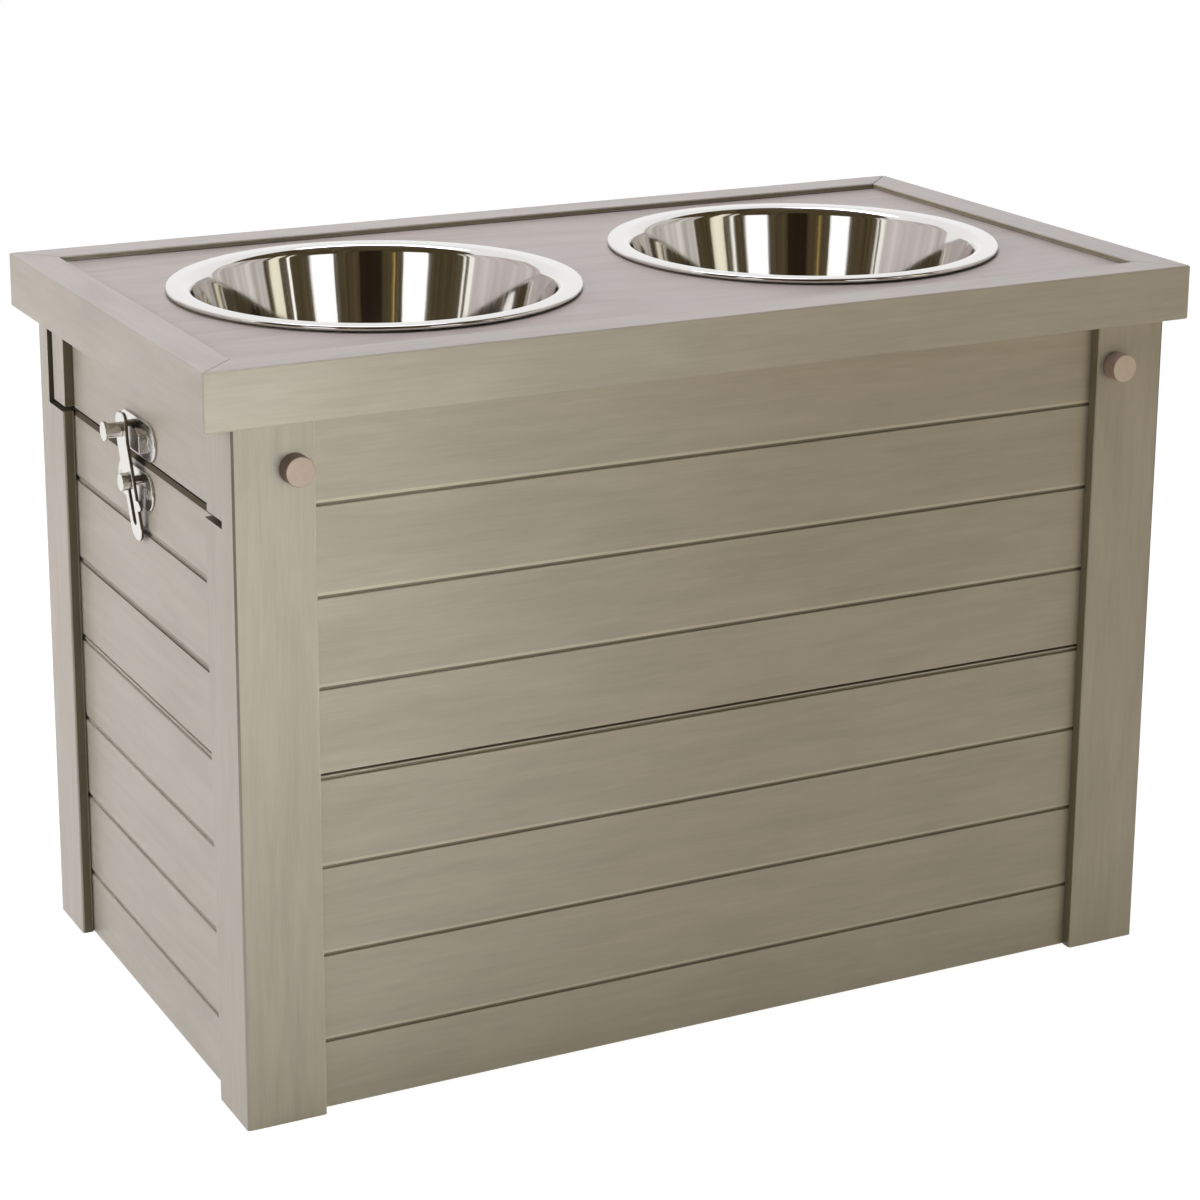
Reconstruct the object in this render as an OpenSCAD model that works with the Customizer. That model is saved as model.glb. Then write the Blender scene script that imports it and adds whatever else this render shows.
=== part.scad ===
// Elevated two-bowl dog feeder with a storage box under a lift-off lid.
// Four corner posts hold slatted wall panels in channels. The lid is a mitred
// tray that carries two steel bowls and hangs a short skirt over each end; a
// swing latch on each end ties the skirt down to the box.
// +X runs along the length, +Y to the back, +Z up. The origin is on the floor
// under the middle of the box.

/* [Box] */
// Length over the corner posts
box_l = 570; // [480:10:660]
// Depth over the corner posts
box_d = 322; // [300:2:360]
// Height of the posts, from the floor to the underside of the lid
box_h = 382; // [376:2:440]
// Width of a post's front face
post_face = 45; // [42:1:60]
// Width of a post's end face
post_return = 42; // [40:1:55]
// Thickness of a post's two legs
post_leg = 21.5; // [21:0.5:24]
// Thickness of every wall panel, of the floor and of the lid's top
panel_t = 9; // [7:0.5:9]
// How far the front and rear panels lie behind the posts' faces
recess_front = 7.3; // [5:0.1:7.5]
// How far the end panels lie behind the posts' faces
recess_end = 7; // [5:0.1:7.4]
// How deep the front and rear panels reach into the posts
tongue_front = 24; // [20:0.5:25]
// How deep the end panels reach into the posts
tongue_end = 15; // [8:0.5:16]
// Play of a panel in its channel, on each side
channel_play = 0.1; // [0.05:0.05:0.3]

/* [Planks] */
// Height of the lowest plank
first_plank = 38.5; // [30:0.5:45]
// Spacing of the plank lines
plank_pitch = 49.5; // [46:0.5:52]
// Planks in a lower panel, up to the joint between two stacked panels
lower_planks = 4; // [3:1:4]
// Depth of the line between two planks
line_depth = 1.5; // [1:0.1:3]
// Height of the chamfer above that line
line_chamfer = 1.9; // [1:0.1:3]
// Height of the line itself
line_gap = 1.5; // [0.6:0.1:2]
// Height of a lower panel's top edge above its top plank line
joint_rise = 1.6; // [1:0.1:2.5]
// Height of the shadow gap where two panels are stacked
joint_gap = 1.5; // [1:0.1:3]
// Depth of that shadow gap at the front and the rear
joint_depth = 4; // [2:0.5:5]
// Depth of that shadow gap at the box's ends
end_joint_depth = 1.5; // [1:0.1:3]

/* [Floor] */
// Height and width of the cleats under the floor
cleat = 15; // [10:1:25]
// Gap between the floor's edge and the walls
floor_play = 0.5; // [0.2:0.1:2]

/* [Lid] */
// How far the lid overhangs the posts at each end
overhang_end = 15; // [10:1:22]
// How far the lid overhangs the posts at the front and the rear
overhang_side = 3; // [1:0.5:10]
// Height of the lid's frame boards
frame_h = 31.5; // [26:0.5:45]
// Width of the frame boards, seen from above
frame_w = 23; // [22.5:0.5:23]
// How far the top lies below the frame's upper edge
top_recess = 3.5; // [2:0.5:8]
// How deep the top sits in the frame's groove
top_tongue = 6; // [4:0.5:10]
// Play of the top in that groove
top_play = 0.1; // [0.05:0.05:0.3]
// How far the box's ends stop below the posts' tops, where the lid's skirts take over
end_drop = 55.5; // [53:0.5:58]
// Height of the open line between the box's ends and the skirts
split_gap = 2.1; // [1.2:0.1:3]
// Height of the chamfer along the top of the box's ends
split_chamfer = 2.6; // [1:0.1:4]
// Clearance of a skirt behind the front panel
skirt_play_front = 0.6; // [0.3:0.1:2]
// Clearance of a skirt before the rear panel
skirt_play_rear = 5.4; // [0.5:0.1:6]
// How far the skirts' stiles lie behind the posts' faces
stile_recess = 1.3; // [0:0.1:3]
// Height of the open line between a stile and its post
stile_gap = 2.9; // [2:0.1:4]
// Width of the stiffening batten under the lid's top
batten_w = 36; // [20:1:50]
// Height of that batten
batten_h = 12; // [8:1:18]

/* [Bowls] */
// Diameter of a bowl's mouth, inside the rim
bowl_mouth_d = 207; // [190:1:209]
// Width of a bowl's rim
bowl_rim_w = 13; // [10:0.5:15]
// Distance between the two bowls' centres
bowl_pitch = 277; // [266:1:290]
// Depth of a bowl below its rim
bowl_depth = 68; // [50:1:76]
// Diameter of a bowl's flat bottom
bowl_base_d = 132; // [90:1:150]
// Thickness of the bowl's sheet steel
bowl_t = 1.2; // [0.8:0.1:1.6]
// Radius of the rolled edge of the rim
bowl_bead = 1.8; // [1.4:0.1:2.4]
// Clearance between a bowl's wall and its hole, all round
bowl_play = 1.6; // [1:0.1:3]

/* [Locking pegs] */
// Diameter of a peg's head
peg_head_d = 16; // [12:0.5:20]
// How far the head stands out of the post
peg_head_l = 10; // [5:0.5:15]
// Diameter of a peg's shank
peg_shank_d = 10; // [6:0.5:11]
// Radial clearance of the shank in its bore
peg_play = 0.08; // [0.05:0.01:0.1]
// Distance from the post's end face to the peg's axis
peg_inset = 33; // [31:0.5:35]
// Distance from the post's top to the peg's axis
peg_drop = 23; // [15:0.5:40]

/* [Latches] */
// Place of the latches along the depth, from the middle
latch_y = 3.5; // [-20:0.5:20]
// Length of a latch plate
plate_l = 58; // [57:1:66]
// Height of a latch plate
plate_h = 21; // [20:0.5:22.5]
// Thickness of a latch plate
plate_t = 1.5; // [1:0.1:1.6]
// How far the keeper's plate sits forward of the pivot
keeper_shift = 1; // [0:0.5:2]
// How far the pivot's plate sits back of the pivot
plate_shift = 4.5; // [0:0.5:5]
// Height of the pivot's plate below the top of the box's end
plate_drop = 5.5; // [4:0.5:6]
// Height of the pivot below the top of the box's end
pivot_drop = 12.4; // [11:0.1:13]
// Radius of the keeper's arched top, about the pivot
keeper_r = 31; // [29:0.5:32]
// Width of the keeper's raised boss
boss_w = 25; // [22:1:28]
// Height of the boss's lower edge above the pivot
boss_rise = 18; // [17.5:0.5:20]
// How far the boss stands off its plate
boss_t = 2.8; // [2.2:0.1:2.8]
// Width of the latch bar
bar_w = 16; // [14:0.5:18]
// Thickness of the latch bar
bar_t = 2; // [1.6:0.1:2.6]
// Length of the bar above the pivot
bar_up = 38.5; // [37:0.5:42]
// Length of the bar below the pivot
bar_down = 33.5; // [31:0.5:35]
// How far the bar's back stands off the box at the pivot
bar_stand = 5; // [5:0.1:6]
// How far it stands off the box at the head
head_stand = 7; // [6.8:0.1:8]
// Tilt of the closed bar, its head towards the rear
bar_tilt = 8; // [0:1:10]
// Width of the slot in the bar
slot_w = 6; // [5:0.5:7]
// Length of the slot's part below the pivot
slot_down = 24.5; // [20:0.5:24.5]
// Clearance between the bar and the plates it moves over
bar_play = 0.4; // [0.3:0.1:0.6]
// Thickness of the hook that reaches behind the bar, over the boss
hook_t = 2.3; // [1.5:0.1:3]
// Height of the thumb knob's axis above the pivot
knob_rise = 29; // [28:0.1:32]
// Diameter of the thumb knob
knob_d = 8.5; // [6:0.5:10]
// Length of the knob
knob_l = 10; // [8:0.5:13]
// Diameter of the knob's flared end
knob_flare_d = 11; // [10:0.5:13]
// Diameter of the pivot stud's head
stud_head_d = 10; // [9:0.5:12]
// Length of that head
stud_head_l = 4; // [3:0.5:8]
// Diameter of the screws' heads
screw_head_d = 7; // [5:0.5:7]
// Diameter of the screws' shanks
screw_d = 3.4; // [2.5:0.1:4]
// Distance between the two screws of a plate
screw_pitch = 44; // [42:1:46]

/* [Hidden] */
$fn = 64;

board_color = [0.66, 0.63, 0.58];
top_color = [0.65, 0.61, 0.59];
inner_color = [0.58, 0.55, 0.51];
peg_color = [0.69, 0.61, 0.56];
steel_color = [0.82, 0.82, 0.80];
zinc_color = [0.72, 0.71, 0.68];

// A cut reaches this far past the face that it opens
past = 1;
// Shortest distance between a plank line and a panel's edge
line_margin = 6;

// Walls
split_h = box_h - end_drop;
wall_front = box_d / 2 - recess_front;
wall_end = box_l / 2 - recess_end;
front_panel_l = box_l - 2 * post_face + 2 * tongue_front;
end_panel_l = box_d - 2 * post_return + 2 * tongue_end;
joint_z = first_plank + (lower_planks - 1) * plank_pitch + joint_rise;

// Lid, seen from the floor
frame_l = box_l + 2 * overhang_end;
frame_d = box_d + 2 * overhang_side;
lid_top_z = box_h + frame_h - top_recess;
lid_under_z = lid_top_z - panel_t;
inner_l = frame_l - 2 * frame_w;
inner_d = frame_d - 2 * frame_w;
notch_v = recess_front + panel_t + channel_play;
skirt_bottom = split_h + split_gap;
stile_front = box_d / 2 - notch_v - skirt_play_front;
stile_rear = box_d / 2 - notch_v - skirt_play_rear;
stile_inner = box_d / 2 - post_return;
skirt_in = wall_end - panel_t;

// Bowls
bowl_hole_r = bowl_mouth_d / 2 + bowl_t + bowl_play;

// Pegs
peg_x = box_l / 2 - peg_inset;
peg_z = box_h - peg_drop;
peg_len = post_leg;

// Latches, in a frame with its origin on the pivot and on the end panel's face:
// x points away from the box, y to the back, z up
pivot_z = split_h - pivot_drop;
plate_top = split_h - plate_drop - pivot_z;
plate_mid = plate_top - plate_h / 2;
keeper_gap = 0.5;
keeper_mid = skirt_bottom + keeper_gap - pivot_z + plate_h / 2;
tail_stand = plate_t + bar_play;
head_low = 22;
bar_corner = 5;
nib_z = -13;
stud_neck_r = slot_w / 2 - 0.2;
stud_head_x = bar_stand + bar_t + 0.5;
knob_spigot_r = 2.5;
knob_spigot_l = bar_t * 0.75;
screw_l = 7;
screw_play = 0.05;

// ---------------------------------------------------------------- shared shapes

// Puts a part made for the front left corner at the corner asked for
module at_corner(right, rear) {
    mirror([right ? 1 : 0, 0, 0])
        mirror([0, rear ? 1 : 0, 0])
            translate([-box_l / 2, -box_d / 2, 0])
                children();
}

// Puts a part made for the left end at the end asked for
module at_end(right) {
    mirror([right ? 1 : 0, 0, 0])
        children();
}

// Turns the latch frame to the left end of the box
module at_latch(right) {
    at_end(right)
        translate([-wall_end, latch_y, pivot_z])
            mirror([1, 0, 0])
                children();
}

// Countersunk screw with its head's face at the origin, pointing along -X
module countersunk(head_d, shank_d, length, grow = 0) {
    rotate([0, -90, 0]) {
        cylinder(h = (head_d - shank_d) / 2, d1 = head_d + 2 * grow, d2 = shank_d + 2 * grow);
        cylinder(h = length + grow, d = shank_d + 2 * grow);
    }
}

// Cross-section of one plank line: a chamfer above a narrow slot
module plank_line() {
    polygon([
        [-past, line_chamfer + line_gap],
        [0, line_chamfer + line_gap / 2],
        [line_depth * 0.6, line_gap / 2],
        [line_depth, line_gap / 2],
        [line_depth, -line_gap / 2],
        [-past, -line_gap / 2]
    ]);
}

// Slatted panel along X with its outer face on y = 0, the plank lines on both faces
module plank_panel(length, low, high, stacked, gap_depth) {
    last = stacked ? high - line_margin : high - joint_rise + 0.01;
    difference() {
        translate([-length / 2, 0, low])
            cube([length, panel_t, high - low]);
        for (z = [first_plank : plank_pitch : last])
            if (z > low + line_margin)
                for (face = [0, 1])
                    translate([length / 2 + past, face * panel_t, z])
                        mirror([0, face, 0])
                            rotate([90, 0, -90])
                                linear_extrude(length + 2 * past)
                                    mirror([1, 0, 0])
                                        plank_line();
        if (stacked)
            translate([-length / 2 - past, -past, low - past])
                cube([length + 2 * past, gap_depth + past, joint_gap + past]);
    }
}

// ---------------------------------------------------------------- box

// L-shaped section of a corner post with the channels for the two panels
module post_section() {
    difference() {
        union() {
            square([post_face, post_leg]);
            square([post_leg, post_return]);
        }
        translate([post_face - tongue_front - channel_play, recess_front - channel_play])
            square([tongue_front + past + channel_play, panel_t + 2 * channel_play]);
        translate([recess_end - channel_play, post_return - tongue_end - channel_play])
            square([panel_t + 2 * channel_play, tongue_end + past + channel_play]);
    }
}

// Corner post, notched above the split to take the lid's skirt, bored for its peg
module corner_post(right, rear) {
    color(board_color)
        at_corner(right, rear)
            difference() {
                linear_extrude(box_h)
                    post_section();
                translate([-past, notch_v, split_h])
                    cube([post_leg + past, post_return, box_h]);
                translate([peg_inset, -past, peg_z])
                    rotate([-90, 0, 0])
                        cylinder(h = post_leg + 2 * past, r = peg_shank_d / 2 + peg_play);
            }
}

// Front or rear panel
module long_panel(rear, low, high, stacked) {
    color(board_color)
        mirror([0, rear ? 1 : 0, 0])
            difference() {
                translate([0, -wall_front, 0])
                    plank_panel(front_panel_l, low, high, stacked, joint_depth);
                for (x = [-peg_x, peg_x])
                    translate([x, -wall_front - past, peg_z])
                        rotate([-90, 0, 0])
                            cylinder(h = panel_t + 2 * past, r = peg_shank_d / 2 + peg_play);
                for (x = cleat_screw_x)
                    translate([x, -wall_front + panel_t, cleat / 2])
                        rotate([-90, 0, 0])
                            cleat_screw(screw_play);
            }
}

// Left or right panel of the box, below the split, with its top edge chamfered
module end_panel(right, low, high, stacked) {
    color(board_color)
        at_end(right)
            difference() {
                translate([-wall_end, 0, 0])
                    rotate([0, 0, -90])
                        plank_panel(end_panel_l, low, high, stacked, end_joint_depth);
                translate([-wall_end, end_panel_l / 2 + past, split_h])
                    rotate([90, 0, 0])
                        linear_extrude(end_panel_l + 2 * past)
                            polygon([
                                [-past, past],
                                [line_depth, past],
                                [line_depth, 0],
                                [0, -split_chamfer],
                                [-past, -split_chamfer]
                            ]);
                plate_screws(right = false, grow = screw_play);
            }
}

// Floor of the storage box, cut out round the four posts
module floor_panel() {
    half_l = skirt_in - floor_play;
    half_d = wall_front - panel_t - floor_play;
    color(inner_color)
        difference() {
            translate([-half_l, -half_d, cleat])
                cube([2 * half_l, 2 * half_d, panel_t]);
            for (right = [false, true], rear = [false, true])
                at_corner(right, rear)
                    translate([-past, -past, cleat - past])
                        cube([
                            post_face + floor_play + past,
                            post_return + floor_play + past,
                            panel_t + 2 * past
                        ]);
        }
}

cleat_l = box_l - 2 * post_face - 20;
cleat_screw_x = [-cleat_l / 2 + 40, 0, cleat_l / 2 - 40];

// Screw through a cleat into the panel before it; its head's face is cleat deep
module cleat_screw(grow = 0) {
    translate([0, 0, cleat])
        rotate([0, -90, 0])
            countersunk(screw_head_d, screw_d, cleat + panel_t - 3, grow);
}

// Cleat that carries the floor
module floor_cleat(rear) {
    color(inner_color)
        mirror([0, rear ? 1 : 0, 0])
            difference() {
                translate([-cleat_l / 2, -wall_front + panel_t, 0])
                    cube([cleat_l, cleat, cleat]);
                for (x = cleat_screw_x)
                    translate([x, -wall_front + panel_t, cleat / 2])
                        rotate([-90, 0, 0])
                            cleat_screw(screw_play);
            }
}

// Screws of both cleats
module cleat_screws() {
    color(zinc_color)
        for (rear = [0, 1], x = cleat_screw_x)
            mirror([0, rear, 0])
                translate([x, -wall_front + panel_t, cleat / 2])
                    rotate([-90, 0, 0])
                        cleat_screw();
}

// ---------------------------------------------------------------- lid

// Space that the lid's top takes in the groove of the frame
module top_blank(play) {
    half_l = inner_l / 2 + top_tongue + play;
    half_d = inner_d / 2 + top_tongue + play;
    translate([-half_l, -half_d, lid_under_z - play])
        cube([2 * half_l, 2 * half_d, panel_t + 2 * play]);
}

// One mitred board of the frame, seen from above as a trapezium
module frame_board(length, depth, turn) {
    color(board_color)
        rotate([0, 0, turn])
            difference() {
                translate([0, 0, box_h])
                    linear_extrude(frame_h)
                        polygon([
                            [-length / 2, -depth / 2],
                            [length / 2, -depth / 2],
                            [length / 2 - frame_w, -depth / 2 + frame_w],
                            [-length / 2 + frame_w, -depth / 2 + frame_w]
                        ]);
                rotate([0, 0, -turn]) {
                    top_blank(top_play);
                    skirt_screws(grow = screw_play);
                }
            }
}

// Recessed top with the two bowl holes
module lid_top() {
    color(top_color)
        difference() {
            top_blank(0);
            for (side = [-1, 1])
                translate([side * bowl_pitch / 2, 0, lid_under_z - past])
                    cylinder(h = panel_t + 2 * past, r = bowl_hole_r, $fn = 128);
            batten_screws(grow = screw_play);
        }
}

batten_l = inner_d - 1;
batten_screw_y = [-batten_l / 2 + 20, batten_l / 2 - 20];

// Batten across the middle of the lid, between the bowls
module lid_batten() {
    color(inner_color)
        difference() {
            translate([-batten_w / 2, -batten_l / 2, lid_under_z - batten_h])
                cube([batten_w, batten_l, batten_h]);
            batten_screws(grow = screw_play);
        }
}

// Screws that hold the batten, heads below
module batten_screws(grow = 0) {
    color(zinc_color)
        for (y = batten_screw_y)
            translate([0, y, lid_under_z - batten_h])
                rotate([0, 90, 0])
                    countersunk(screw_head_d, screw_d, batten_h + panel_t - 3, grow);
}

// Skirt board that hangs from the lid at one end, rebated to fit inside the frame
module skirt(right) {
    color(board_color)
        at_end(right)
            difference() {
                translate([-wall_end, -stile_inner, skirt_bottom])
                    cube([panel_t, 2 * stile_inner, lid_under_z - skirt_bottom]);
                translate([-wall_end - past, -stile_inner - past, box_h])
                    cube([past + wall_end - inner_l / 2, 2 * stile_inner + 2 * past, frame_h]);
                keeper_screws(right = false, grow = screw_play);
                skirt_screws(grow = screw_play);
            }
}

// Stiles at the ends of a skirt, set back a little from the posts' faces
module skirt_stiles(right) {
    depth = box_l / 2 - stile_recess - skirt_in;
    bottom = split_h + stile_gap;
    color(board_color)
        at_end(right)
            for (span = [[-stile_front, -stile_inner], [stile_inner, stile_rear]])
                translate([-box_l / 2 + stile_recess, span[0], bottom])
                    cube([depth, span[1] - span[0], box_h - bottom]);
}

skirt_screw_y = [-stile_inner * 0.75, 0, stile_inner * 0.75];

// Screws through the skirts' tops into the frame, from inside
module skirt_screws(grow = 0) {
    color(zinc_color)
        for (right = [false, true], y = skirt_screw_y)
            at_end(right)
                translate([-skirt_in, y, (box_h + lid_under_z) / 2])
                    countersunk(screw_head_d, screw_d, wall_end - inner_l / 2 + panel_t + 5, grow);
}

// ---------------------------------------------------------------- bowls

// Half section of a bowl: rolled edge, flat rim, rounded mouth, wall, base
module bowl_section() {
    mouth_r = bowl_mouth_d / 2;
    rim_r = mouth_r + bowl_rim_w;
    base_r = bowl_base_d / 2;
    lip = 3;
    toe = 24;
    heel_r = base_r + toe * 0.9;
    function quarter(cx, cy, rx, ry, from, to, n) =
        [for (i = [0 : n]) let (a = from + (to - from) * i / n)
            [cx + rx * cos(a), cy + ry * sin(a)]];
    top = 2 * bowl_bead;
    inner = concat(
        [[0, -bowl_depth + 1.5]],
        [[base_r * 0.55, -bowl_depth + 1.2]],
        quarter(base_r, -bowl_depth + toe, heel_r - base_r, toe, -90, -10, 10),
        quarter(mouth_r + lip, top - lip, lip, lip, 180, 90, 6)
    );
    outer = concat(
        quarter(rim_r - bowl_bead, bowl_bead, bowl_bead, bowl_bead, 70, -90, 8),
        [[rim_r - bowl_bead, bowl_t * 0.6]],
        [[rim_r - 2.2 * bowl_bead, top - bowl_t]],
        quarter(mouth_r + lip, top - lip, lip - bowl_t, lip - bowl_t, 90, 180, 6),
        quarter(base_r, -bowl_depth + toe, heel_r - base_r + bowl_t, toe + bowl_t, -10, -90, 10),
        [[base_r * 0.55, -bowl_depth + 1.2 - bowl_t]],
        [[0, -bowl_depth + 1.5 - bowl_t]]
    );
    polygon(concat(inner, outer));
}

// Steel bowl that hangs by its rim in the lid's top
module bowl(side) {
    color(steel_color)
        translate([side * bowl_pitch / 2, 0, lid_top_z])
            rotate_extrude($fn = 128)
                bowl_section();
}

// ---------------------------------------------------------------- pegs

// Peg that locks an upper panel in its post, pulled out by its head
module peg(right, rear) {
    color(peg_color)
        at_corner(right, rear)
            translate([peg_inset, 0, peg_z])
                rotate([-90, 0, 0]) {
                    translate([0, 0, -peg_head_l])
                        cylinder(h = peg_head_l, d = peg_head_d);
                    cylinder(h = peg_len, d = peg_shank_d);
                }
}

// ---------------------------------------------------------------- latches

// Oval plate on the box's face, its middle at y = along and height mid
module oval_plate(along, mid) {
    straight = plate_l - plate_h;
    for (side = [-1, 1])
        translate([0, along + side * straight / 2, mid])
            rotate([0, 90, 0])
                cylinder(h = plate_t, d = plate_h);
    translate([0, along - straight / 2, mid - plate_h / 2])
        cube([plate_t, straight, plate_h]);
}

// Two screws of a plate in the latch frame
module two_screws(along, mid, grow) {
    for (side = [-1, 1])
        translate([plate_t, along + side * screw_pitch / 2, mid])
            countersunk(screw_head_d, screw_d, screw_l, grow);
}

// Boss of the keeper, arched about the pivot, shrunk by a margin
module boss(margin, reach) {
    intersection() {
        rotate([0, 90, 0])
            cylinder(h = reach, r = keeper_r - margin, $fn = 96);
        translate([-past, -boss_w / 2 + margin, boss_rise + margin])
            cube([reach + 2 * past, boss_w - 2 * margin, keeper_r]);
    }
}

// Keeper on the skirt: an oval plate pressed out to a hollow arched boss
module keeper(right) {
    color(steel_color)
        at_latch(right)
            difference() {
                union() {
                    oval_plate(-keeper_shift, keeper_mid);
                    boss(0, plate_t + boss_t);
                }
                translate([-past, 0, 0])
                    boss(plate_t, boss_t + past);
                two_screws(-keeper_shift, keeper_mid, screw_play);
            }
}

module keeper_screws(right, grow = 0) {
    color(zinc_color)
        at_latch(right)
            two_screws(-keeper_shift, keeper_mid, grow);
}

// Plate on the box that carries the pivot stud
module latch_plate(right) {
    color(steel_color)
        at_latch(right)
            difference() {
                oval_plate(plate_shift, plate_mid);
                translate([-past, 0, 0])
                    rotate([0, 90, 0])
                        cylinder(h = plate_t + 2 * past, r = stud_neck_r + 0.05);
                two_screws(plate_shift, plate_mid, screw_play);
            }
}

module plate_screws(right, grow = 0) {
    color(zinc_color)
        at_latch(right)
            two_screws(plate_shift, plate_mid, grow);
}

// Headed stud that turns in the plate; the bar slides on its neck
module latch_stud(right) {
    color(steel_color)
        at_latch(right)
            rotate([0, 90, 0]) {
                cylinder(h = stud_head_x, r = stud_neck_r);
                translate([0, 0, stud_head_x])
                    cylinder(h = stud_head_l, d = stud_head_d);
            }
}

// Outline of the bar about the pivot: round tail, nib for a finger, slot
module bar_outline() {
    head_half = bar_w / 2 - bar_corner;
    tail_mid = -bar_down + bar_w / 2;
    slot_low = -slot_down + slot_w / 2;
    difference() {
        union() {
            translate([-bar_w / 2, tail_mid])
                square([bar_w, bar_up - bar_corner - tail_mid]);
            translate([-head_half, 0])
                square([2 * head_half, bar_up]);
            for (side = [-1, 1])
                translate([side * head_half, bar_up - bar_corner])
                    circle(r = bar_corner);
            translate([0, tail_mid])
                circle(d = bar_w);
            translate([-bar_w / 2 - 2, nib_z])
                circle(d = 6);
            translate([-bar_w / 2 - 2, nib_z - 3])
                square([4, 6]);
        }
        for (z = [0.2, slot_low])
            translate([0, z])
                circle(d = slot_w);
        translate([-slot_w / 2, slot_low])
            square([slot_w, 0.2 - slot_low]);
    }
}

// Side profile of the bar, which leans out from its tail to its head
module bar_profile() {
    back = [
        [tail_stand, -bar_down - past],
        [tail_stand, -bar_down],
        [bar_stand, 0],
        [head_stand, head_low],
        [head_stand, bar_up + past]
    ];
    polygon(concat(back, [for (i = [len(back) - 1 : -1 : 0]) back[i] + [bar_t, 0]]));
}

// Strap of the bar: its outline cut from its profile
module bar_strap() {
    intersection() {
        rotate([90, 0, 0])
            translate([0, 0, -bar_w])
                linear_extrude(2 * bar_w)
                    bar_profile();
        rotate([90, 0, 90])
            linear_extrude(head_stand + bar_t + past)
                bar_outline();
    }
}

// Hook behind the bar's head, which lies over the keeper's arched boss
module bar_hook() {
    hook_r = keeper_r + bar_play;
    intersection() {
        translate([tail_stand, 0, 0])
            rotate([0, 90, 0])
                difference() {
                    cylinder(h = head_stand - tail_stand, r = hook_r + hook_t, $fn = 96);
                    translate([0, 0, -past])
                        cylinder(h = head_stand + past, r = hook_r, $fn = 96);
                }
        translate([0, -bar_w / 2 + 2, 0])
            cube([head_stand, bar_w - 4, bar_up]);
    }
}

// Slotted bar that swings and slides on the stud, drawn closed
module latch_bar(right) {
    color(steel_color)
        at_latch(right)
            rotate([-bar_tilt, 0, 0])
                difference() {
                    union() {
                        bar_strap();
                        bar_hook();
                    }
                    translate([head_stand + bar_t - knob_spigot_l, 0, knob_rise])
                        rotate([0, 90, 0])
                            cylinder(h = knob_spigot_l + past, r = knob_spigot_r + 0.02);
                }
}

// Thumb knob riveted to the bar's head
module latch_knob(right) {
    flare = 2;
    color(steel_color)
        at_latch(right)
            rotate([-bar_tilt, 0, 0])
                translate([head_stand + bar_t, 0, knob_rise])
                    rotate([0, 90, 0]) {
                        translate([0, 0, -knob_spigot_l])
                            cylinder(h = knob_spigot_l, r = knob_spigot_r);
                        cylinder(h = knob_l - flare, d = knob_d);
                        translate([0, 0, knob_l - flare])
                            cylinder(h = flare, d = knob_flare_d);
                    }
}

// ---------------------------------------------------------------- assembly

corner_post(false, false);  // post_front_left
corner_post(true, false);  // post_front_right
corner_post(false, true);  // post_rear_left
corner_post(true, true);  // post_rear_right
long_panel(false, 0, joint_z, false);  // front_panel_lower
long_panel(false, joint_z, box_h, true);  // front_panel_upper
long_panel(true, 0, joint_z, false);  // rear_panel_lower
long_panel(true, joint_z, box_h, true);  // rear_panel_upper
end_panel(false, 0, joint_z, false);  // left_panel_lower
end_panel(false, joint_z, split_h, true);  // left_panel_upper
end_panel(true, 0, joint_z, false);  // right_panel_lower
end_panel(true, joint_z, split_h, true);  // right_panel_upper
floor_panel();
floor_cleat(false);  // floor_cleat_front
floor_cleat(true);  // floor_cleat_rear
cleat_screws();
frame_board(frame_l, frame_d, 0);  // lid_frame_front
frame_board(frame_l, frame_d, 180);  // lid_frame_rear
frame_board(frame_d, frame_l, -90);  // lid_frame_left
frame_board(frame_d, frame_l, 90);  // lid_frame_right
lid_top();
lid_batten();
batten_screws();
skirt(false);  // skirt_left
skirt(true);  // skirt_right
skirt_stiles(false);  // skirt_stiles_left
skirt_stiles(true);  // skirt_stiles_right
skirt_screws();
bowl(-1);  // bowl_left
bowl(1);  // bowl_right
peg(false, false);  // peg_front_left
peg(true, false);  // peg_front_right
peg(false, true);  // peg_rear_left
peg(true, true);  // peg_rear_right
keeper(false);  // keeper_left
keeper(true);  // keeper_right
keeper_screws(false);  // keeper_screws_left
keeper_screws(true);  // keeper_screws_right
latch_plate(false);  // latch_plate_left
latch_plate(true);  // latch_plate_right
plate_screws(false);  // plate_screws_left
plate_screws(true);  // plate_screws_right
latch_stud(false);  // latch_stud_left
latch_stud(true);  // latch_stud_right
latch_bar(false);  // latch_bar_left
latch_bar(true);  // latch_bar_right
latch_knob(false);  // latch_knob_left
latch_knob(true);  // latch_knob_right
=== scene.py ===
"""Elevated dog feeder with storage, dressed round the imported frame.

Everything is in metres in the frame of the part: +X along the length, +Y to the
back, +Z up, the origin on the floor. Sizes written in millimetres are turned to
metres with MM.
"""

import logging
import math
from collections.abc import Iterable, Mapping, Sequence
from dataclasses import dataclass
from enum import Enum

import bmesh
import bpy
from bpy.types import Material, Mesh, Node, NodeSocket, NodeTree, Object
from mathutils import Matrix, Vector


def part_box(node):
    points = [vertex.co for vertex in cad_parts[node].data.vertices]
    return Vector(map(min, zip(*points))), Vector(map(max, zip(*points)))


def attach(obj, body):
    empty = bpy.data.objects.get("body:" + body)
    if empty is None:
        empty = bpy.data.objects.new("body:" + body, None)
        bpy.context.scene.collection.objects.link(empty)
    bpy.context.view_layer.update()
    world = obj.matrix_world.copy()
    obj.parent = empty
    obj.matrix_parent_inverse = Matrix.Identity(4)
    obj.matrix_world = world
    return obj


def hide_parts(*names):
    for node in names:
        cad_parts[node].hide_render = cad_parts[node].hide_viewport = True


MM = 0.001

Point = tuple[float, float]
Direction = tuple[float, float, float]

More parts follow.
